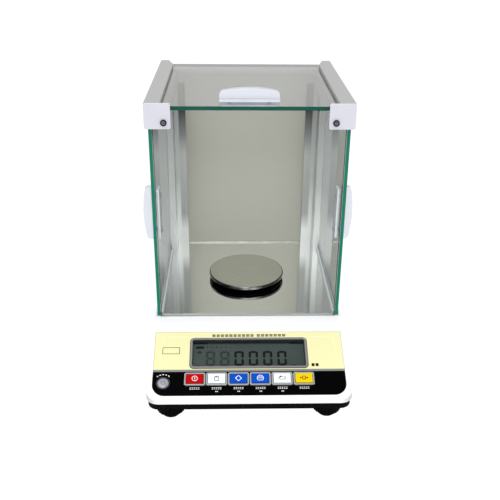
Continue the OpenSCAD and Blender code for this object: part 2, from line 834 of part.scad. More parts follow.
bottom_tray();
upper_shell();
foot_nuts();
left_foot_wheel();
right_foot_wheel();
left_foot_pad();
right_foot_pad();
rear_feet();
case_screws();
sub_chassis();
load_cell();
load_bracket();
overload_stops();
pan_support();
weighing_pan();
main_board();
power_inlet();
serial_port();
display_board();
key_switches();
lcd_module();
display_window();
display_bezel();
panel_overlay();
key_frames();
power_key();
calibrate_key();
mode_key();
print_key();
unit_key();
tare_key();
level_cup();
level_lens();
chamber_floor();
rear_sill();
left_lower_rail();
right_lower_rail();
left_rear_post();
right_rear_post();
rear_panel();
rear_top_bar();
left_top_rail();
right_top_rail();
left_end_cap();
right_end_cap();
cap_screws();
front_glass();
left_door_glass();
left_door_handle();
left_door_backing();
left_door_screws();
right_door_glass();
right_door_handle();
right_door_backing();
right_door_screws();
top_door_glass();
top_door_handle();
top_door_backing();
top_door_screws();
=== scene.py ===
"""Looks of an analytical balance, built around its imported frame. Metres, +X right, +Y back, +Z up."""
from collections import namedtuple
from math import atan2, cos, pi, radians, sin

import bmesh
import bpy
from mathutils import Matrix, Vector


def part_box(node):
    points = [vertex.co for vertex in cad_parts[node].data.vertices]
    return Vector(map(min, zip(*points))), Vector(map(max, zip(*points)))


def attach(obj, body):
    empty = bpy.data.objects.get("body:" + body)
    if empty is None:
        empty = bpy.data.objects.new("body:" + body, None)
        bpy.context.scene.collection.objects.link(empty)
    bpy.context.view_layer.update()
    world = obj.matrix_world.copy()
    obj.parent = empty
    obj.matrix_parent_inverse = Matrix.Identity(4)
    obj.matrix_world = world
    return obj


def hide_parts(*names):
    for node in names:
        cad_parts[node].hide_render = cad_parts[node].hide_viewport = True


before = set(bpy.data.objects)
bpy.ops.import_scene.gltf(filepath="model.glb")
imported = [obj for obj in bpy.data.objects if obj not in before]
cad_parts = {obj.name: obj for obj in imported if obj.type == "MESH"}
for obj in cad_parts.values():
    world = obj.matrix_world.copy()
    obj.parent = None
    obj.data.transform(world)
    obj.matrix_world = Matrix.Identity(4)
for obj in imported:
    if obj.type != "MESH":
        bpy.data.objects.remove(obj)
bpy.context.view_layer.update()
MM = 0.001


# ---- Nodes -----------------------------------------------------------------------------------
Finish = namedtuple("Finish", "material tree shader")


def finish_of(name, colour, roughness, metallic=0.0, specular=0.5):
    """New material with a Principled shader."""
    material = bpy.data.materials.new(name)
    material.use_nodes = True
    shader = material.node_tree.nodes["Principled BSDF"]
    for label, value in (("Base Color", (*colour, 1)), ("Roughness", roughness), ("Metallic", metallic),
                         ("Specular IOR Level", specular)):
        shader.inputs[label].default_value = value
    return Finish(material, material.node_tree, shader)


def feed(tree, socket, value):
    """Puts a link or a plain value into an input socket."""
    if isinstance(value, bpy.types.NodeSocket):
        tree.links.new(value, socket)
    else:
        socket.default_value = value


def node_of(tree, kind, inputs=(), **settings):
    """New node with its settings, and with links or plain values in its inputs."""
    node = tree.nodes.new(kind)
    for label, value in settings.items():
        setattr(node, label, value)
    for label, value in dict(inputs).items():
        feed(tree, node.inputs[label], value)
    return node


def object_place(tree):
    return node_of(tree, "ShaderNodeTexCoord").outputs["Object"]


def axes(tree, vector):
    return node_of(tree, "ShaderNodeSeparateXYZ", {0: vector}).outputs


def maths(tree, operation, *values):
    return node_of(tree, "ShaderNodeMath", dict(enumerate(values)), operation=operation).outputs[0]


def spread(tree, value, low, high, to_low=0.0, to_high=1.0):
    """A value carried from one range to another and kept inside it."""
    return node_of(tree, "ShaderNodeMapRange", {
        "Value": value, "From Min": low, "From Max": high, "To Min": to_low, "To Max": to_high}).outputs[0]


def colour_mix(tree, switch, first, second):
    """First colour where the switch is 0, second where it is 1."""
    return node_of(tree, "ShaderNodeMix", {"Factor": switch, 6: first, 7: second},
                   data_type="RGBA").outputs[2]


def tones(tree, value, stops, interpolation="LINEAR"):
    """Colours along a value. Each stop has its place and a colour or a grey."""
    ramp = node_of(tree, "ShaderNodeValToRGB", {"Fac": value})
    ramp.color_ramp.interpolation = interpolation
    for place, _ in stops[1:-1]:
        ramp.color_ramp.elements.new(place)
    for element, (place, tone) in zip(ramp.color_ramp.elements, stops):
        element.position = place
        element.color = (*tone, 1) if isinstance(tone, tuple) else (tone, tone, tone, 1)
    return ramp.outputs["Color"]


def coloured(finish, colour):
    """Links a colour into a finish."""
    feed(finish.tree, finish.shader.inputs["Base Color"], colour)


def surfaced(tree, share, first, second):
    """Ends a material's tree in a mix of two shaders, the second one's share given."""
    mix = node_of(tree, "ShaderNodeMixShader", {"Fac": share, 1: first, 2: second})
    tree.links.new(mix.outputs["Shader"], tree.nodes["Material Output"].inputs["Surface"])


def mesh_piece(name, bm, finish=None):
    """Writes a bmesh to a new object at the origin."""
    mesh = bpy.data.meshes.new(name)
    bm.to_mesh(mesh)
    bm.free()
    piece = bpy.data.objects.new(name, mesh)
    bpy.context.scene.collection.objects.link(piece)
    if finish:
        mesh.materials.append(finish.material)
    return piece


# ---- Studio ----------------------------------------------------------------------------------
# The balance stands on a white table under a large soft lamp. To the camera the table and the
# room are plain white, and in reflections the room shows its grey walls and bright windows. The
# camera looks down from standing height, a little left of the middle.
table_size = 12.0
plain_white = 1.05
table_bm = bmesh.new()
bmesh.ops.create_grid(table_bm, x_segments=1, y_segments=1, size=table_size / 2)
table_finish = finish_of("table white", (0.96, 0.96, 0.96), 0.8)
table_glow = node_of(table_finish.tree, "ShaderNodeEmission", {"Strength": plain_white})
surfaced(table_finish.tree, node_of(table_finish.tree, "ShaderNodeLightPath").outputs["Is Camera Ray"],
         table_finish.shader.outputs["BSDF"], table_glow.outputs["Emission"])
table_top = mesh_piece("table_top", table_bm, table_finish)

room = bpy.data.worlds.new("white room")
room.use_nodes = True
room_tree = room.node_tree
room_ray = node_of(room_tree, "ShaderNodeLightPath").outputs
room_axes = axes(room_tree, node_of(room_tree, "ShaderNodeTexCoord").outputs["Generated"])


def room_tones(axis, stops):
    """Grey tones along one axis of the room, from -1 to 1."""
    return tones(room_tree, spread(room_tree, room_axes[axis], -1, 1), stops)


windows = room_tones("X", ((0, 0.30), (0.28, 0.10), (0.36, 0.10), (0.44, 1.3), (0.50, 1.3), (0.56, 0.12),
                           (0.64, 0.10), (0.70, 0.8), (0.76, 0.25), (1, 0.36)))
is_behind = room_tones("Y", ((0, 0), (0.45, 0), (0.55, 1), (1, 1)))
mirrored_room = colour_mix(room_tree, is_behind, windows, (0.95, 0.95, 0.93, 1))
lighting = room_tones("Z", ((0, 0.45), (0.5, 0.45), (0.75, 1.1), (1, 1.25)))
lit_room = colour_mix(room_tree, room_ray["Is Glossy Ray"], lighting, mirrored_room)
seen_room = colour_mix(room_tree, room_ray["Is Camera Ray"], lit_room, (*[plain_white] * 3, 1))
room_tree.links.new(seen_room, room_tree.nodes["Background"].inputs["Color"])
bpy.context.scene.world = room
bpy.context.scene.view_settings.view_transform = "Standard"


def soft_lamp(name, place, aim, size, power):
    lamp = bpy.data.lights.new(name, "AREA")
    lamp.size = size
    lamp.energy = power
    holder = bpy.data.objects.new(name, lamp)
    holder.location = place
    holder.rotation_euler = (Vector(aim) - Vector(place)).to_track_quat("-Z", "Y").to_euler()
    bpy.context.scene.collection.objects.link(holder)


soft_lamp("overhead softbox", (-0.5, -0.6, 1.7), (0, 0, 0.1), 1.2, 9)
soft_lamp("front fill", (0.9, -1.6, 0.9), (0, 0, 0.1), 1.0, 4)

camera_pitch, camera_turn, camera_roll = radians(25.60), radians(1.75), radians(0.62)
ahead = Vector((sin(camera_turn) * cos(camera_pitch), cos(camera_turn) * cos(camera_pitch),
                -sin(camera_pitch)))
level_right = ahead.cross(Vector((0, 0, 1))).normalized()
level_up = level_right.cross(ahead)
right = level_right * cos(camera_roll) + level_up * sin(camera_roll)
up = level_up * cos(camera_roll) - level_right * sin(camera_roll)
camera_data = bpy.data.cameras.new("camera")
camera_data.sensor_width = 36
camera_data.lens = 52.21
camera_data.clip_end = 50
camera = bpy.data.objects.new("camera", camera_data)
camera.matrix_world = Matrix((
    (right.x, up.x, -ahead.x, -17.71 * MM),
    (right.y, up.y, -ahead.y, -674.55 * MM),
    (right.z, up.z, -ahead.z, 440.5 * MM),
    (0, 0, 0, 1)))
bpy.context.scene.collection.objects.link(camera)
bpy.context.scene.camera = camera


# ---- Upper shell -----------------------------------------------------------------------------
# One white injection moulding that carries the chamber and the console. Its outer ridges are
# well rounded, and its surface has the faint grain of a spark-eroded tool.
def merged(node):
    """Copy of a CAD node's mesh with its loose triangles joined and its flat faces made whole."""
    bm = bmesh.new()
    bm.from_mesh(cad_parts[node].data)
    bmesh.ops.remove_doubles(bm, verts=bm.verts, dist=1e-6)
    bmesh.ops.dissolve_limit(bm, angle_limit=radians(0.4), verts=bm.verts, edges=bm.edges)
    return bm


def ridges(bm, angle=30):
    """Edges where the surface turns by more than an angle in degrees."""
    return [e for e in bm.edges if len(e.link_faces) == 2 and e.calc_face_angle(0) > radians(angle)]


def rounded(bm, edges, radius, segments=3):
    bmesh.ops.bevel(bm, geom=edges, offset=radius, offset_type="OFFSET", segments=segments,
                    profile=0.5, affect="EDGES", clamp_overlap=True)


def shade(piece, angle=32):
    """Smooth shading that stays sharp past an angle in degrees."""
    piece.data.polygons.foreach_set("use_smooth", [True] * len(piece.data.polygons))
    piece.data.set_sharp_from_angle(angle=radians(angle))


def softened(node, name, body, finish, radius, segments=2, angle=30):
    """The CAD node with its hard edges rounded, which stands for it."""
    bm = merged(node)
    rounded(bm, ridges(bm, angle), radius, segments)
    return stand_in(bm, node, name, body, finish)


def stand_in(bm, node, name, body, finish):
    piece = mesh_piece(name, bm, finish)
    shade(piece)
    flatten = piece.modifiers.new("flat faces stay flat", "WEIGHTED_NORMAL")
    flatten.keep_sharp = True
    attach(piece, body)
    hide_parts(node)
    return piece


def grain(finish, scale, rough_low, rough_high, bump=0.0, depth=0.0001, stretch=(1, 1, 1)):
    """Varies a finish's roughness and surface with noise in the object's own coordinates."""
    tree, shader = finish.tree, finish.shader
    place = node_of(tree, "ShaderNodeMapping", {"Vector": object_place(tree), "Scale": stretch})
    noise = node_of(tree, "ShaderNodeTexNoise", {
        "Vector": place.outputs["Vector"], "Scale": scale, "Detail": 3}).outputs["Fac"]
    feed(tree, shader.inputs["Roughness"], spread(tree, noise, 0.3, 0.7, rough_low, rough_high))
    if bump:
        relief = node_of(tree, "ShaderNodeBump", {"Strength": bump, "Distance": depth, "Height": noise})
        feed(tree, shader.inputs["Normal"], relief.outputs["Normal"])
    return noise


def painted_edge_shade(finish, base, edge_on, first, sideways=False):
    """Painted shade: darkens a finish's colour where it is seen nearly edge on, or where it faces sideways.
    """
    tree = finish.tree
    if sideways:
        normal = node_of(tree, "ShaderNodeNewGeometry").outputs["Normal"]
        facing = maths(tree, "ABSOLUTE", axes(tree, normal)["X"])
    else:
        facing = node_of(tree, "ShaderNodeLayerWeight").outputs["Facing"]
    coloured(finish, colour_mix(tree, spread(tree, facing, first, 1), (*base, 1), (*edge_on, 1)))


shell_white = (0.84, 0.84, 0.85)
shell_finish = finish_of("shell white with painted side shade", shell_white, 0.34)
# Painted shade: the shell's colour turns grey-lavender where its walls and rounded ridges face sideways.
painted_edge_shade(shell_finish, shell_white, (0.42, 0.42, 0.48), 0.1, True)
grain(shell_finish, 900, 0.28, 0.42, 0.12, 0.00005)
shell_low, shell_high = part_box("upper_shell")
shell_ridge = 2.0 * MM
shell_bm = merged("upper_shell")


def on_shell_outline(edge):
    """An edge between an outer wall and the deck, slope or nose, or down the nose's corners."""
    if min(v.co.z for v in edge.verts) < shell_low.z + 0.5 * MM:
        return False
    walls = [f for f in edge.link_faces if abs(f.normal.z) < 0.2 and f.normal.dot(
        f.calc_center_median() - Vector((0, 0, f.calc_center_median().z))) > 0]
    outer = [f for f in walls if max(max(abs(v.co.x) / shell_high.x, abs(v.co.y) / shell_high.y)
                                     for v in f.verts) > 0.955]
    return len(outer) == 1


rounded(shell_bm, [e for e in ridges(shell_bm, 20) if on_shell_outline(e)], shell_ridge, 4)
stand_in(shell_bm, "upper_shell", "upper_shell_moulding", "root", shell_finish)

# ---- Tray and feet ---------------------------------------------------------------------------
# The tray is black moulded plastic with a matt grain. Two knurled levelling wheels at the front
# carry domed rubber pads, and two plain rubber feet stand at the back.
black_finish = finish_of("tray black", (0.001, 0.001, 0.0012), 0.5, specular=0.05)
grain(black_finish, 1200, 0.5, 0.68, 0.25, 0.00006)
rubber_finish = finish_of("foot rubber", (0.003, 0.003, 0.003), 0.75, specular=0.08)
grain(rubber_finish, 700, 0.65, 0.85, 0.3, 0.00008)
brass_finish = finish_of("turned brass", (0.70, 0.49, 0.18), 0.3, 1.0)
grain(brass_finish, 500, 0.2, 0.4, stretch=(1, 1, 8))
softened("bottom_tray", "bottom_tray_moulding", "root", black_finish, 1.0 * MM, 3)
for side in ("left", "right"):
    softened(f"{side}_foot_wheel", f"{side}_levelling_wheel", f"{side}_wheel", black_finish,
             0.5 * MM)
    softened(f"{side}_foot_pad", f"{side}_rubber_pad", f"{side}_foot", rubber_finish,
             2.4 * MM, 5)
softened("rear_feet", "rear_rubber_feet", "root", rubber_finish, 2.4 * MM, 5)


def dress(finish, *nodes):
    """Gives CAD nodes whose shape is already right their finish."""
    for node in nodes:
        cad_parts[node].data.materials.clear()
        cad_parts[node].data.materials.append(finish.material)


dress(brass_finish, "foot_nuts")

# ---- Screws ----------------------------------------------------------------------------------
# Cross-recessed plated machine screws hold the case, the rail caps and the door handles.
# Each group is one piece grown from its seats.
steel_finish = finish_of("zinc plated steel", (0.55, 0.55, 0.54), 0.3, 1.0)
grain(steel_finish, 1500, 0.22, 0.42)
dark_finish = finish_of("blackened steel", (0.006, 0.006, 0.0065), 0.4, specular=0.15)
grain(dark_finish, 1500, 0.28, 0.45)


def new_tree(name, inputs):
    """Geometry node group with a geometry input and named number inputs."""
    tree = bpy.data.node_groups.new(name, "GeometryNodeTree")
    tree.interface.new_socket("Geometry", in_out="INPUT", socket_type="NodeSocketGeometry")
    for label, kind in inputs:
        tree.interface.new_socket(label, in_out="INPUT", socket_type=kind)
    tree.interface.new_socket("Geometry", in_out="OUTPUT", socket_type="NodeSocketGeometry")
    return tree, tree.nodes.new("NodeGroupInput"), tree.nodes.new("NodeGroupOutput")


def close_tree(tree, group_in, group_out, instances):
    """Ends a tree in Realize Instances and Set Material."""
    realize = node_of(tree, "GeometryNodeRealizeInstances", {"Geometry": instances})
    painted = node_of(tree, "GeometryNodeSetMaterial", {
        "Geometry": realize.outputs["Geometry"], "Material": group_in.outputs["Material"]})
    tree.links.new(painted.outputs["Geometry"], group_out.inputs["Geometry"])


def grown(name, tree, points, settings, matrix):
    """Runs a tree on a set of points and returns the result as a plain mesh, put in place."""
    bm = bmesh.new()
    for point in points:
        bm.verts.new(point)
    seed = mesh_piece(name + "_seed", bm)
    modifier = seed.modifiers.new("grow", "NODES")
    modifier.node_group = tree
    for item in tree.interface.items_tree:
        if item.in_out == "INPUT" and item.name in settings:
            modifier[item.identifier] = settings[item.name]
    evaluated = seed.evaluated_get(bpy.context.evaluated_depsgraph_get())
    mesh = bpy.data.meshes.new_from_object(evaluated)
    mesh.name = name
    seed.modifiers.remove(modifier)
    bpy.data.objects.remove(seed)
    mesh.transform(matrix)
    piece = bpy.data.objects.new(name, mesh)
    bpy.context.scene.collection.objects.link(piece)
    return piece


screw_tree, screw_in, screw_out = new_tree("cross recess screws", [
    ("Head Radius", "NodeSocketFloat"), ("Head Height", "NodeSocketFloat"),
    ("Shank Radius", "NodeSocketFloat"), ("Shank Length", "NodeSocketFloat"),
    ("Material", "NodeSocketMaterial")])


def raised(tree, part, height):
    """A mesh node's result, moved along Z."""
    place = node_of(tree, "ShaderNodeCombineXYZ", {"Z": height})
    return node_of(tree, "GeometryNodeTransform", {
        "Geometry": part.outputs["Mesh"], "Translation": place.outputs[0]}).outputs["Geometry"]


def tree_drum(tree, radius, depth, low):
    """Cylinder standing along Z from a given height."""
    drum = node_of(tree, "GeometryNodeMeshCylinder", {"Vertices": 32, "Radius": radius, "Depth": depth})
    return raised(tree, drum, maths(tree, "ADD", low, maths(tree, "MULTIPLY", depth, 0.5)))


head_width, head_depth, shank_depth = (
    screw_in.outputs[label] for label in ("Head Radius", "Head Height", "Shank Length"))
cut = node_of(screw_tree, "GeometryNodeMeshBoolean", operation="DIFFERENCE", inputs={
    "Mesh 1": tree_drum(screw_tree, head_width, head_depth, 0.0)})
for across, along in ((0.22, 1.1), (1.1, 0.22)):
    slot_size = node_of(screw_tree, "ShaderNodeCombineXYZ", {
        "X": maths(screw_tree, "MULTIPLY", head_width, across),
        "Y": maths(screw_tree, "MULTIPLY", head_width, along), "Z": head_depth})
    slot_box = node_of(screw_tree, "GeometryNodeMeshCube", {"Size": slot_size.outputs[0]})
    screw_tree.links.new(raised(screw_tree, slot_box, head_depth), cut.inputs["Mesh 2"])
shank = tree_drum(screw_tree, screw_in.outputs["Shank Radius"], shank_depth,
                  maths(screw_tree, "MULTIPLY", shank_depth, -1.0))
both = screw_tree.nodes.new("GeometryNodeJoinGeometry")
for part in (cut.outputs["Mesh"], shank):
    screw_tree.links.new(part, both.inputs["Geometry"])
seats = node_of(screw_tree, "GeometryNodeInstanceOnPoints", {
    "Points": screw_in.outputs["Geometry"], "Instance": both.outputs["Geometry"]})
close_tree(screw_tree, screw_in, screw_out, seats.outputs["Instances"])


def screws(name, node, body, seat_points, outward, head_radius, head_height, shank_length, finish):
    """Screws on given seats, their heads towards outward, standing for a CAD node of screws."""
    turn = Vector(outward).to_track_quat("Z", "Y").to_matrix().to_4x4()
    local = [turn.inverted() @ Vector(p) for p in seat_points]
    piece = grown(name, screw_tree, local, {
        "Head Radius": head_radius, "Head Height": head_height, "Shank Radius": 1.5 * MM,
        "Shank Length": shank_length, "Material": finish.material}, turn)
    shade(piece)
    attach(piece, body)
    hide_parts(node)
    return piece


head_r, head_h = 2.8 * MM, 1.6 * MM
case_low, case_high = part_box("case_screws")
case_x, case_y = case_high.x - head_r, (case_low.y + head_r, case_high.y - head_r)
screws("case_screw_set", "case_screws", "root",
       [(x, y, case_low.z + head_h) for x in (-case_x, case_x) for y in case_y],
       (0, 0, -1), head_r, head_h, case_high.z - case_low.z - head_h, steel_finish)
dull_steel_finish = finish_of("dull steel", (0.16, 0.16, 0.17), 0.4, 0.8)
cap_low, cap_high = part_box("cap_screws")
cap_seats = [(x, cap_low.y + head_h, (cap_low.z + cap_high.z) / 2)
             for x in (cap_low.x + head_r, cap_high.x - head_r)]
screws("rail_cap_screws", "cap_screws", "root", cap_seats, (0, -1, 0), 1.7 * MM, 1.3 * MM,
       cap_high.y - cap_low.y - head_h, dull_steel_finish)
collar_bm = bmesh.new()
for seat in cap_seats:
    collar = bmesh.ops.create_cone(collar_bm, cap_ends=True, segments=40, radius1=head_r, radius2=head_r,
                                   depth=head_h, matrix=Matrix.Translation(seat) @ Matrix.Translation(
                                       (0, -head_h / 2, 0)) @ Matrix.Rotation(pi / 2, 4, "X"))
    front = min((f for v in collar["verts"] for f in v.link_faces), key=lambda f: f.calc_center_median().y)
    bmesh.ops.inset_individual(collar_bm, faces=[front], thickness=0.9 * MM)
    bmesh.ops.translate(collar_bm, verts=front.verts, vec=(0, 0.8 * MM, 0))
collars = mesh_piece("rail_cap_collars", collar_bm, dark_finish)
shade(collars)
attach(collars, "root")

# ---- Printed panel ---------------------------------------------------------------------------
# A polycarbonate film printed from behind: cream above, a grey rule, black below. It lies in a
# shallow recess of the slope. Marks and pictograms are raised ink.
deck_z = shell_high.z
slope_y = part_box("right_lower_rail")[0].y - 0.5 * MM
nose_z = 33 * MM
slope = atan2(deck_z - nose_z, slope_y - shell_low.y)
on_slope = Matrix.Translation((0, slope_y, deck_z)) @ Matrix.Rotation(slope, 4, "X")
cream, rule_grey, panel_black = (0.755, 0.74, 0.415), (0.22, 0.22, 0.22), (0.0006, 0.0006, 0.0007)
rule_top, rule_low = 60.4 * MM, 62.6 * MM

panel_finish = finish_of("printed film", cream, 0.3, specular=0.02)
grain(panel_finish, 1400, 0.26, 0.36, 0.08, 0.00003)
down = node_of(panel_finish.tree, "ShaderNodeVectorMath", {
    0: object_place(panel_finish.tree), 1: (0, -cos(slope), -sin(slope))}, operation="DOT_PRODUCT")
start_dot = -slope_y * cos(slope) - deck_z * sin(slope)
panel_reach = 0.1
bands = spread(panel_finish.tree, down.outputs["Value"], start_dot, start_dot + panel_reach)
coloured(panel_finish, tones(panel_finish.tree, bands, (
    (0, cream), (rule_top / panel_reach, rule_grey), (rule_low / panel_reach, panel_black)), "CONSTANT"))
softened("panel_overlay", "printed_panel", "root", panel_finish, 0.15 * MM)


def ink_finish(name, colour):
    finish = finish_of(name, colour, 0.6, specular=0.15)
    grain(finish, 2000, 0.5, 0.7)
    return finish


white_ink = ink_finish("white ink", (0.85, 0.86, 0.88))
dark_ink_and_painted_shadow = ink_finish("dark ink and painted shadow", (0.006, 0.006, 0.007))
emboss_highlight_ink = ink_finish("pale cream painted highlight", (0.85, 0.83, 0.50))


def prism(bm, outline, low, high):
    """Closed prism on an outline of (x, down) points in millimetres, between two heights."""
    rings = [[bm.verts.new((x * MM, -v * MM, n * MM)) for x, v in outline] for n in (low, high)]
    bm.faces.new(rings[0])
    bm.faces.new(rings[1])
    for i in range(len(outline)):
        j = (i + 1) % len(outline)
        bm.faces.new((rings[0][i], rings[0][j], rings[1][j], rings[1][i]))


def bar(x0, v0, x1, v1):
    return [[(x0, v0), (x1, v0), (x1, v1), (x0, v1)]]


def line(x0, v0, x1, v1, width):
    """A straight stroke between two points."""
    run_x, run_v = x1 - x0, v1 - v0
    length = (run_x ** 2 + run_v ** 2) ** 0.5
    off_x, off_v = -run_v / length * width / 2, run_x / length * width / 2
    return [[(x0 + off_x, v0 + off_v), (x1 + off_x, v1 + off_v),
             (x1 - off_x, v1 - off_v), (x0 - off_x, v0 - off_v)]]


def loop(points, width):
    """A closed stroke through points."""
    strokes = []
    for start, end in zip(points, points[1:] + points[:1]):
        strokes += line(*start, *end, width)
    return strokes


def arc(x, v, radius, width, first=0, last=360, steps=28):
    """A curved stroke about a centre, angles in degrees clockwise from up."""
    strokes = []
    for i in range(steps):
        a, b = (radians(first + (last - first) * k / steps) for k in (i, i + 1))
        near, far = radius - width / 2, radius + width / 2
        strokes.append([(x + near * sin(a), v - near * cos(a)), (x + far * sin(a), v - far * cos(a)),
                        (x + far * sin(b), v - far * cos(b)), (x + near * sin(b), v - near * cos(b))])
    return strokes


ink_t, ink_lift = 0.05, 0.02


def ink(name, strokes, height, finish, body, thick=ink_t):
    """Strokes of raised ink on the slope, at a height above its face in millimetres."""
    bm = bmesh.new()
    for outline in strokes:
        prism(bm, outline, height, height + thick)
    bmesh.ops.recalc_face_normals(bm, faces=bm.faces)
    bm.transform(on_slope)
    piece = mesh_piece(name, bm, finish)
    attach(piece, body)
    return piece


# An empty outlined label at the left, and two small squares at the right.
ink("plain_label_outline", loop([(-82, 36), (-66, 36), (-66, 43), (-82, 43)], 0.5),
    0, dark_ink_and_painted_shadow, "root")
ink("panel_squares", bar(59, 54.4, 61.8, 57.6) + bar(62.8, 54.4, 65.6, 57.6),
    0, dark_ink_and_painted_shadow, "root")
# Painted highlight: pale cream lines stand for the lit edge of a faint embossed frame in the film.
frame_sides = [[(side * x, v) for x, v in ((81.65, 24), (82.35, 24), (84.85, 55.5), (84.15, 55.5))]
               for side in (-1, 1)]
ink("panel_frame_painted_highlight", bar(-82, 23.65, 82, 24.35) + bar(-84.5, 55.15, -59, 55.85)
    + bar(67.5, 55.15, 84.5, 55.85) + frame_sides, 0, emboss_highlight_ink, "root", 0.03)

dash_tree, dash_in, dash_out = new_tree("row of dashes", [
    ("Count", "NodeSocketInt"), ("Pitch", "NodeSocketFloat"), ("Dash", "NodeSocketVector"),
    ("Material", "NodeSocketMaterial")])
dash_step = node_of(dash_tree, "ShaderNodeCombineXYZ", {"X": dash_in.outputs["Pitch"]})
dash_line = node_of(dash_tree, "GeometryNodeMeshLine", {
    "Count": dash_in.outputs["Count"], "Offset": dash_step.outputs[0]})
dash_cube = node_of(dash_tree, "GeometryNodeMeshCube", {"Size": dash_in.outputs["Dash"]})
dash_rows = node_of(dash_tree, "GeometryNodeInstanceOnPoints", {
    "Points": dash_line.outputs["Mesh"], "Instance": dash_cube.outputs["Mesh"]})
close_tree(dash_tree, dash_in, dash_out, dash_rows.outputs["Instances"])


def dashes(name, x, v, height, count, pitch, dash, finish):
    """A centred row of equal dashes on the slope, sizes in millimetres."""
    start = Vector((x - (count - 1) * pitch / 2, -v, height)) * MM
    piece = grown(name, dash_tree, [(0, 0, 0)], {
        "Count": count, "Pitch": pitch * MM, "Dash": tuple(d * MM for d in dash),
        "Material": finish.material}, on_slope @ Matrix.Translation(start))
    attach(piece, "root")
    return piece


for row, v in (("upper", 21.8), ("lower", 23.3)):
    for word, x, count in ((1, -15, 10), (2, 21.9, 7)):
        dashes(f"title_{row}_dashes_{word}", x, v, ink_lift, count, 4.1, (3.1, 1.1, ink_t), dark_ink_and_painted_shadow)

# ---- Display ---------------------------------------------------------------------------------
# A reflective liquid crystal display with black figures lies behind a clear window, which a
# grey moulded frame holds. Its lamp is off, so it shows the room's light only.
bezel_finish = finish_of("display frame grey", (0.19, 0.19, 0.192), 0.35)
grain(bezel_finish, 1500, 0.3, 0.45, 0.1, 0.00003)
bezel_shade_finish = finish_of("display frame with painted edge shade", (0.055, 0.053, 0.06), 0.35)
grain(bezel_shade_finish, 1500, 0.3, 0.45, 0.1, 0.00003)
bezel = softened("display_bezel", "display_frame", "root", bezel_finish, 0.6 * MM, 3)
# Painted shade: the frame's rounded edges get a darker copy of its grey, and only its flat front face keeps
# the lighter one.
bezel.data.materials.append(bezel_shade_finish.material)
for face in bezel.data.polygons:
    face.material_index = 0 if face.normal.dot(Vector((0, -sin(slope), cos(slope)))) > 0.93 else 1
lcd_finish = finish_of("liquid crystal", (0.065, 0.095, 0.088), 0.35)
lcd_noise = grain(lcd_finish, 60, 0.3, 0.4)
coloured(lcd_finish, tones(lcd_finish.tree, lcd_noise,
                           ((0, (0.022, 0.037, 0.034)), (1, (0.037, 0.058, 0.053)))))
dress(lcd_finish, "lcd_module")


def pane_finish(name, tint, ior=1.52, rough=0.0):
    """Thin clear sheet: light goes straight through, and the face it meets first mirrors some of it."""
    material = bpy.data.materials.new(name)
    material.use_nodes = True
    tree = material.node_tree
    tree.nodes.remove(tree.nodes["Principled BSDF"])
    facing = node_of(tree, "ShaderNodeLayerWeight").outputs["Facing"]
    through = tones(tree, facing, ((0.62, tint), (0.88, tuple(0.55 * t for t in tint))))
    clear = node_of(tree, "ShaderNodeBsdfTransparent", {"Color": through})
    gloss = node_of(tree, "ShaderNodeBsdfGlossy", {"Roughness": rough})
    one_face = node_of(tree, "ShaderNodeFresnel", {"IOR": ior}).outputs["Fac"]
    outside = maths(tree, "SUBTRACT", 1.0, node_of(tree, "ShaderNodeNewGeometry").outputs["Backfacing"])
    half = maths(tree, "DIVIDE", maths(tree, "MULTIPLY", one_face, outside),
                 maths(tree, "ADD", one_face, 1.0))
    mirrored = maths(tree, "MULTIPLY", half, 2.0)
    slanted = maths(tree, "MULTIPLY", mirrored, spread(tree, facing, 0.25, 0.75))
    surfaced(tree, slanted, clear.outputs["BSDF"], gloss.outputs["BSDF"])
    return Finish(material, tree, gloss)


dress(pane_finish("display window", (0.96, 0.97, 0.965), 1.15, 0.05), "display_window")
figure_face = -3.2
digit_w, digit_h, digit_pitch, digit_top, stroke_w = 9.0, 16.4, 13.65, 38.3, 2.3


def figure_segments(left, middle):
    """The segments of one seven-segment place, with or without the middle one."""
    right_x, half_h = left + digit_w, digit_h / 2
    inset, slit = stroke_w / 2, 0.35
    strokes = []
    for x in (left + inset, right_x - inset):
        for top in (digit_top, digit_top + half_h):
            start, end = top + slit, top + half_h - slit
            strokes += [[(x, start), (x + inset, start + inset), (x + inset, end - inset),
                         (x, end), (x - inset, end - inset), (x - inset, start + inset)]]
    rows = [digit_top + inset, digit_top + digit_h - inset] + ([digit_top + half_h] if middle else [])
    for v in rows:
        strokes += [[(left + stroke_w, v - inset), (right_x - stroke_w, v - inset),
                     (right_x - stroke_w + 0.6, v), (right_x - stroke_w, v + inset),
                     (left + stroke_w, v + inset), (left + stroke_w - 0.6, v)]]
    return strokes


digit_left = [-13.8 + i * digit_pitch for i in range(-2, 4)]
ink("display_figures", sum((figure_segments(x, False) for x in digit_left[2:]), []), figure_face, dark_ink_and_painted_shadow,
    "root", 0.04)
unlit_ink = ink_finish("unlit segment", (0.026, 0.040, 0.037))
ink("display_unlit_figures", sum((figure_segments(x, True) for x in digit_left[:2]), []), figure_face,
    unlit_ink, "root", 0.03)
status = bar(-50.5, 32.6, -43, 35.4) + bar(-42.6, 33.4, -42, 34.6) + arc(-47, 39.5, 1.2, 0.7)
status += line(-49.6, 39.5, -44.4, 39.5, 0.5) + bar(-49, 54.2, -47, 55.2) + bar(42, 53.6, 44, 54.6)
for i in range(6):
    status += bar(-40 + i * 4.4, 32.8 + (i % 2) * 0.6, -38.9 + i * 4.4, 34.2)
ink("display_status_marks", status, figure_face, dark_ink_and_painted_shadow, "root", 0.04)
# Painted shadow: dark strips across the top of the crystal stand for the frame's shadow on it.
ink("display_top_painted_shadow", bar(-53, 28.2, -39, 30.4) + bar(39, 28.2, 53, 30.4) + bar(-39, 28.2, 39, 29.0),
    figure_face, dark_ink_and_painted_shadow, "root", 0.03)
dashes("display_scale_ticks", 0, 29.7, figure_face + ink_lift, 48, 1.6, (0.9, 1.3, ink_t), dark_ink_and_painted_shadow)

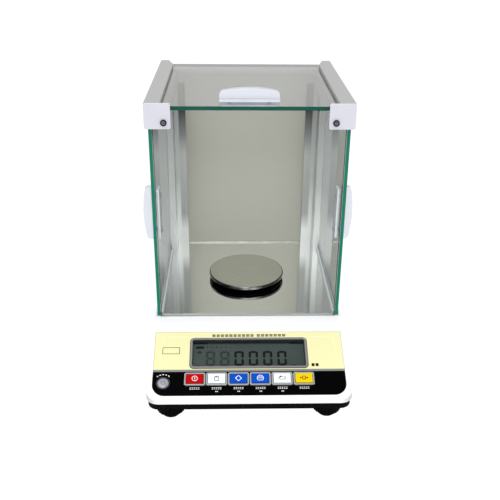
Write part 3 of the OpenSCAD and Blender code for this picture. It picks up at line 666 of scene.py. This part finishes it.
# ---- Keys ------------------------------------------------------------------------------------
# Six moulded caps with slightly crowned faces travel in silver-grey frames. Each carries one
# printed pictogram, and small printed bars stand in for the captions below them.
frame_finish = finish_of("key frame silver", (0.36, 0.38, 0.40), 0.32, 0.3)
grain(frame_finish, 1500, 0.26, 0.42)
softened("key_frames", "key_frame_set", "root", frame_finish, 0.4 * MM, 3)
key_pitch, key_v = 20.25, 71.1
cap_face = 1.9
icon_w = 0.55


def key_place(i):
    return (i - 2.5) * key_pitch


def power_icon(x):
    return arc(x, key_v, 2.5, icon_w) + bar(x - 0.3, key_v - 1.5, x + 0.3, key_v + 1.0)


def weight_icon(x):
    return loop([(x - 2, key_v - 1.6), (x + 1, key_v - 2.4), (x + 2, key_v - 1.4), (x + 2, key_v + 2.3),
                 (x - 2, key_v + 2.3)], icon_w) + bar(x - 1.2, key_v - 1.6, x + 1.2, key_v - 0.9)


def diamond_icon(x):
    return loop([(x, key_v - 2.8), (x + 2.9, key_v), (x, key_v + 2.8), (x - 2.9, key_v)], icon_w + 0.1)


def printer_icon(x):
    tray = [(x - 3.1, key_v), (x + 3.1, key_v), (x + 2.2, key_v + 2.2), (x - 2.2, key_v + 2.2)]
    return (arc(x, key_v, 2.9, icon_w, -80, 80) + loop(tray, icon_w)
            + line(x - 1.8, key_v - 1.2, x + 1.8, key_v - 1.2, 0.4))


def turn_icon(x):
    return (arc(x - 1.6, key_v, 1.4, icon_w, 180, 360) + arc(x + 1.6, key_v, 1.4, icon_w, 0, 180)
            + bar(x - 1.6, key_v + 1.13, x + 1.6, key_v + 1.68)
            + bar(x - 1.6, key_v - 1.68, x + 0.6, key_v - 1.13)
            + [[(x - 2.8, key_v - 0.4), (x - 1.2, key_v - 2.6), (x - 0.6, key_v - 0.6)]])


def zero_icon(x):
    strokes = arc(x, key_v, 1.7, 0.7)
    for way in (-1, 1):
        strokes += bar(x + way * 3.0 - 0.8, key_v - 0.3, x + way * 3.0 + 0.8, key_v + 0.3)
        strokes += [[(x + way * 2.2, key_v), (x + way * 3.4, key_v - 1.0), (x + way * 3.4, key_v + 1.0)]]
    return strokes


keys = (("power_key", "key_red", (0.43, 0.001, 0.001), white_ink, power_icon),
        ("calibrate_key", "key_white", (0.80, 0.86, 0.88), dark_ink_and_painted_shadow, weight_icon),
        ("mode_key", "key_blue", (0.001, 0.068, 0.47), white_ink, diamond_icon),
        ("print_key", "key_blue", (0.001, 0.068, 0.47), white_ink, printer_icon),
        ("unit_key", "key_white", (0.80, 0.86, 0.88), dark_ink_and_painted_shadow, turn_icon),
        ("tare_key", "key_yellow", (0.76, 0.53, 0.002), dark_ink_and_painted_shadow, zero_icon))
for i, (node, slot, tint, mark, icon) in enumerate(keys):
    cap_finish = finish_of(node.replace("_", " ") + " plastic", tint, 0.3, specular=0.05)
    grain(cap_finish, 1600, 0.24, 0.36, 0.08, 0.00003)
    softened(node, node.replace("_key", "_key_button"), node + "_cap", cap_finish, 0.5 * MM, 3)
    ink(node.replace("_key", "_pictogram"), icon(key_place(i)), cap_face - 0.01, mark, node + "_cap")
    for row, v in (("upper", 79.9), ("lower", 81.3)):
        dashes(node.replace("_key", f"_{row}_caption"), key_place(i), v, ink_lift, 5, 1.9, (1.3, 0.5, ink_t),
               white_ink)
    if 0 < i < 5:
        dashes(node.replace("_key", "_second_caption"), key_place(i), 83.9, ink_lift, 2, 1.4,
               (0.9, 0.9, ink_t), white_ink)

# ---- Bubble level ----------------------------------------------------------------------------
# A round spirit level set in the panel's lower left corner: a black cup with a domed lens that
# carries the pale fluid's tone, and a centring ring.
level_x, level_v, level_r = -79.8, 74.7, 5.35
cup_finish = finish_of("level cup black", (0.02, 0.02, 0.022), 0.35)
grain(cup_finish, 1500, 0.3, 0.42)
softened("level_cup", "level_cup_turned", "root", cup_finish, 0.35 * MM, 3)
fluid_finish = finish_of("level fluid", (0.27, 0.265, 0.31), 0.12)
grain(fluid_finish, 400, 0.08, 0.16)
fluid_finish.shader.inputs["Coat Weight"].default_value = 1.0
lens_bm = bmesh.new()
lens_rings, lens_sides = 8, 48
lens_profile = [(level_r, -4.5)] + [(level_r * cos(pi / 2 * k / lens_rings),
                                     -0.5 + 1.1 * sin(pi / 2 * k / lens_rings)) for k in range(lens_rings)]
lens_turns = [2 * pi * k / lens_sides for k in range(lens_sides)]
lens_loops = [[lens_bm.verts.new(((level_x + r * cos(a)) * MM, (-level_v + r * sin(a)) * MM, n * MM))
               for a in lens_turns] for r, n in lens_profile]
for lower, upper in zip(lens_loops, lens_loops[1:]):
    for k in range(lens_sides):
        after = (k + 1) % lens_sides
        lens_bm.faces.new((lower[k], lower[after], upper[after], upper[k]))
lens_bm.faces.new(lens_loops[-1])
lens_bm.faces.new(list(reversed(lens_loops[0])))
lens_bm.transform(on_slope)
bmesh.ops.recalc_face_normals(lens_bm, faces=lens_bm.faces)
stand_in(lens_bm, "level_lens", "level_domed_lens", "root", fluid_finish)
ink("level_centre_ring", arc(level_x, level_v, 1.9, 0.25), 0.58, dark_ink_and_painted_shadow, "root", 0.04)
caption_strokes = []
for k in range(5):
    caption_strokes += arc(level_x, level_v, 8.9, 0.8, -42 + k * 18, -33 + k * 18, 3)
ink("level_caption", caption_strokes, 0, white_ink, "root")

# ---- Chamber floor, rails and posts ----------------------------------------------------------
# The floor is a mirror-polished stainless sheet. The lower door rails, the sill and the rear
# posts are brushed, clear anodised aluminium extrusions, and the top rails are painted pale grey.
floor_finish = finish_of("polished stainless sheet", (1.0, 1.0, 0.99), 0.03, 1.0)
grain(floor_finish, 260, 0.045, 0.11, stretch=(0.2, 6, 1))
softened("chamber_floor", "chamber_floor_sheet", "root", floor_finish, 0.12 * MM)
post_finish = finish_of("brushed aluminium, upright", (0.47, 0.49, 0.50), 0.3, 1.0)
post_noise = grain(post_finish, 420, 0.28, 0.40, 0.04, 0.00002, (8, 8, 0.05))
post_in, post_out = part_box("right_rear_post")
post_width = post_out.x - post_in.x
post_axes = axes(post_finish.tree, object_place(post_finish.tree))
# Painted reflections and shade: the posts' colour runs from light at the foot to dark at the top, and their
# faces near the rear panel darken much further, with a little grain on top.
post_height = spread(post_finish.tree, post_axes["Z"], deck_z, post_out.z)
near_panel = spread(post_finish.tree, maths(post_finish.tree, "ABSOLUTE", post_axes["X"]),
                    post_in.x + 0.44 * post_width, post_in.x + 0.38 * post_width)
outer_painted_light, inner_painted_light = (
    tones(post_finish.tree, post_height, [(place, (tone, tone * 1.02, tone * 1.01)) for place, tone in stops])
    for stops in (
        ((0, 1.0), (0.09, 1.0), (0.29, 0.70), (0.42, 0.52), (0.55, 0.48), (0.7, 0.42), (0.85, 0.34),
         (1, 0.3)),
        ((0, 1.0), (0.09, 1.0), (0.2, 0.48), (0.42, 0.42), (0.58, 0.44), (0.7, 0.22), (0.85, 0.06),
         (1, 0.04))))
post_mix = node_of(post_finish.tree, "ShaderNodeVectorMath", {
    0: colour_mix(post_finish.tree, near_panel, outer_painted_light, inner_painted_light),
    "Scale": spread(post_finish.tree, post_noise, 0, 1, 0.95, 1.05)}, operation="SCALE")
coloured(post_finish, post_mix.outputs["Vector"])
rail_finish = finish_of("brushed aluminium, along", (0.72, 0.73, 0.77), 0.4, 0.35)
grain(rail_finish, 420, 0.24, 0.42, 0.12, 0.00003, (8, 0.12, 8))
sill_finish = finish_of("bright sill", (0.70, 0.70, 0.66), 0.3, 0.6)
grain(sill_finish, 420, 0.18, 0.34, stretch=(0.12, 8, 8))
paint_finish = finish_of("pale grey rail paint", (0.31, 0.31, 0.31), 0.38)
grain(paint_finish, 1300, 0.32, 0.46, 0.15, 0.00004)
softened("rear_sill", "rear_sill_channel", "root", sill_finish, 0.2 * MM)
for side in ("left", "right"):
    softened(f"{side}_lower_rail", f"{side}_lower_door_rail", "root", rail_finish,
             0.25 * MM)
    softened(f"{side}_rear_post", f"{side}_rear_post_extrusion", "root", post_finish,
             0.35 * MM)
    softened(f"{side}_top_rail", f"{side}_top_rail_extrusion", "root", paint_finish, 0.5 * MM)
bar_finish = finish_of("pale grey bar paint", (0.50, 0.50, 0.51), 0.38)
softened("rear_top_bar", "rear_top_bar_extrusion", "root", bar_finish, 0.3 * MM)
cap_finish = finish_of("rail cap white", (0.59, 0.59, 0.66), 0.3)
grain(cap_finish, 1400, 0.25, 0.38, 0.08, 0.00003)
for side in ("left", "right"):
    softened(f"{side}_end_cap", f"{side}_rail_end_cap", "root", cap_finish, 0.6 * MM, 3)

# ---- Rear panel ------------------------------------------------------------------------------
# A satin grey-beige sheet closes the back of the chamber. It stands in the sill's channel and
# slides in the posts' grooves.
sheet_finish = finish_of("grey-beige sheet", (0.42, 0.415, 0.36), 0.5)
grain(sheet_finish, 1100, 0.42, 0.55, 0.1, 0.00003)
sheet_z = axes(sheet_finish.tree, object_place(sheet_finish.tree))["Z"]
# Painted shade: the sheet's colour is lighter at its foot and darker towards the top.
sheet_shade_height = spread(sheet_finish.tree, sheet_z, deck_z, deck_z + 0.12)
coloured(sheet_finish, tones(sheet_finish.tree, sheet_shade_height,
                             ((0, (0.52, 0.512, 0.45)), (1, (0.40, 0.394, 0.343)))))
softened("rear_panel", "rear_panel_sheet", "root", sheet_finish, 0.15 * MM)

# ---- Glass -----------------------------------------------------------------------------------
# Four panes of 3 mm float glass. Their ground edges are deep green, because there the light has
# come a long way through the glass.
pane_clear = pane_finish("float glass face", (0.985, 0.995, 0.99))
edge_finish = finish_of("float glass ground edge", (0.004, 0.17, 0.105), 0.16, specular=0.15)
shaded_edge_finish = finish_of("float glass edge with painted shade", (0.001, 0.075, 0.05), 0.16, specular=0.15)
for finish in (edge_finish, shaded_edge_finish):
    grain(finish, 900, 0.1, 0.24)
pane_chamfer = 0.25 * MM
for node, name, body, thin_axis in (
        ("front_glass", "front_pane", "root", 1),
        ("left_door_glass", "left_door_pane", "left_door", 0),
        ("right_door_glass", "right_door_pane", "right_door", 0),
        ("top_door_glass", "top_door_pane", "top_door", 2)):
    pane = softened(node, name, body, pane_clear, pane_chamfer, 1, 60)
    # Painted shade: the front and top panes' edges get a darker copy of the green than the side doors' edges.
    pane.data.materials.append((edge_finish if thin_axis == 0 else shaded_edge_finish).material)
    for face in pane.data.polygons:
        face.material_index = 0 if abs(face.normal[thin_axis]) > 0.9 else 1

# ---- Door handles ----------------------------------------------------------------------------
# A white moulded fin outside each door is clamped through the glass to a thin plate inside by
# two screws.
handle_white = (0.72, 0.74, 0.80)
handle_finish = finish_of("handle white with painted edge shade", handle_white, 0.3)
# Painted shade: the handles' colour turns dark grey where they are seen nearly edge on.
painted_edge_shade(handle_finish, handle_white, (0.24, 0.25, 0.30), 0.45)
grain(handle_finish, 1400, 0.25, 0.36, 0.08, 0.00003)
door_screw_finish = finish_of("grey plated steel", (0.36, 0.37, 0.39), 0.4, 0.2)
for door in ("left", "right", "top"):
    body = f"{door}_door"
    softened(f"{body}_handle", f"{door}_handle_fin", body, handle_finish, 0.7 * MM, 3)
    softened(f"{body}_backing", f"{door}_backing_plate", body, handle_finish, 0.3 * MM)
    low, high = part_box(f"{body}_screws")
    mid = (low + high) / 2
    inward = {"left": (1, 0, 0), "right": (-1, 0, 0), "top": (0, 0, -1)}[door]
    thin = 2 if door == "top" else 0
    seat_at = high[thin] - head_h if inward[thin] > 0 else low[thin] + head_h
    along = 0 if door == "top" else 2
    seat_points = []
    for end in (low[along] + head_r, high[along] - head_r):
        seat = mid.copy()
        seat[thin], seat[along] = seat_at, end
        seat_points.append(seat)
    screws(f"{door}_handle_screws", f"{body}_screws", body, seat_points, inward, head_r, head_h,
           high[thin] - low[thin] - head_h, door_screw_finish)

# ---- Weighing pan ----------------------------------------------------------------------------
# A dish of stainless sheet, spun upside down with a rolled lip and brushed in circles, sits on a
# black moulded support that drops over the spindle.
pan_low, pan_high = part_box("weighing_pan")
pan_mid = (pan_low + pan_high) / 2
pan_steel = (0.68, 0.68, 0.63)
pan_finish = finish_of("circular brushed stainless with painted lip reflections", (0.80, 0.80, 0.74), 0.22, 1.0)
pan_tree, pan_shader = pan_finish.tree, pan_finish.shader
pan_place = object_place(pan_tree)
pan_centre = node_of(pan_tree, "ShaderNodeMapping", {
    "Vector": pan_place, "Location": (-pan_mid.x, -pan_mid.y, 0), "Scale": (1, 1, 0)})
pan_radius = node_of(pan_tree, "ShaderNodeVectorMath", {0: pan_centre.outputs["Vector"]}, operation="LENGTH")
pan_rings = node_of(pan_tree, "ShaderNodeTexNoise", noise_dimensions="1D", inputs={
    "W": pan_radius.outputs["Value"], "Scale": 1800}).outputs["Fac"]
pan_relief = node_of(pan_tree, "ShaderNodeBump", {"Strength": 0.15, "Distance": 0.00003, "Height": pan_rings})
feed(pan_tree, pan_shader.inputs["Roughness"], spread(pan_tree, pan_rings, 0, 1, 0.14, 0.32))
feed(pan_tree, pan_shader.inputs["Normal"], pan_relief.outputs["Normal"])
pan_normal = node_of(pan_tree, "ShaderNodeNewGeometry").outputs["True Normal"]
pan_lip = spread(pan_tree, axes(pan_tree, pan_normal)["Z"], 0.9995, 0.985)
pan_across = spread(pan_tree, axes(pan_tree, pan_place)["X"], pan_low.x, pan_high.x)
# Painted reflections: the rolled lip's colour is dark with a bright band near the middle, standing for the
# room mirrored in it.
pan_lip_painted_reflections = tones(pan_tree, pan_across, ((0, 0.04), (0.12, 0.02), (0.25, 0.03), (0.34, 0.2), (0.44, 0.26),
                                           (0.54, 0.40), (0.64, 0.12), (0.86, 0.03), (1, 0.06)))
coloured(pan_finish, colour_mix(pan_tree, pan_lip, (*pan_steel, 1), pan_lip_painted_reflections))
dress(pan_finish, "weighing_pan")
softened("pan_support", "pan_support_disc", "pan", black_finish, 0.6 * MM, 3)

# ---- Works inside the base -------------------------------------------------------------------
# A cast chassis carries the machined load cell, whose live end holds the bracket and spindle.
# The boards, switches and rear sockets sit around it.
cast_finish = finish_of("cast aluminium", (0.52, 0.53, 0.54), 0.45, 1.0)
grain(cast_finish, 600, 0.35, 0.6, 0.3, 0.0001)
mask_finish = finish_of("circuit board green", (0.012, 0.09, 0.035), 0.35)
grain(mask_finish, 500, 0.3, 0.45)
socket_finish = finish_of("tinned steel", (0.62, 0.62, 0.60), 0.28, 1.0)
grain(socket_finish, 1500, 0.22, 0.4)
dress(cast_finish, "sub_chassis", "load_cell", "load_bracket")
dress(steel_finish, "overload_stops")
dress(mask_finish, "main_board", "display_board")
dress(black_finish, "key_switches", "power_inlet")
dress(socket_finish, "serial_port")
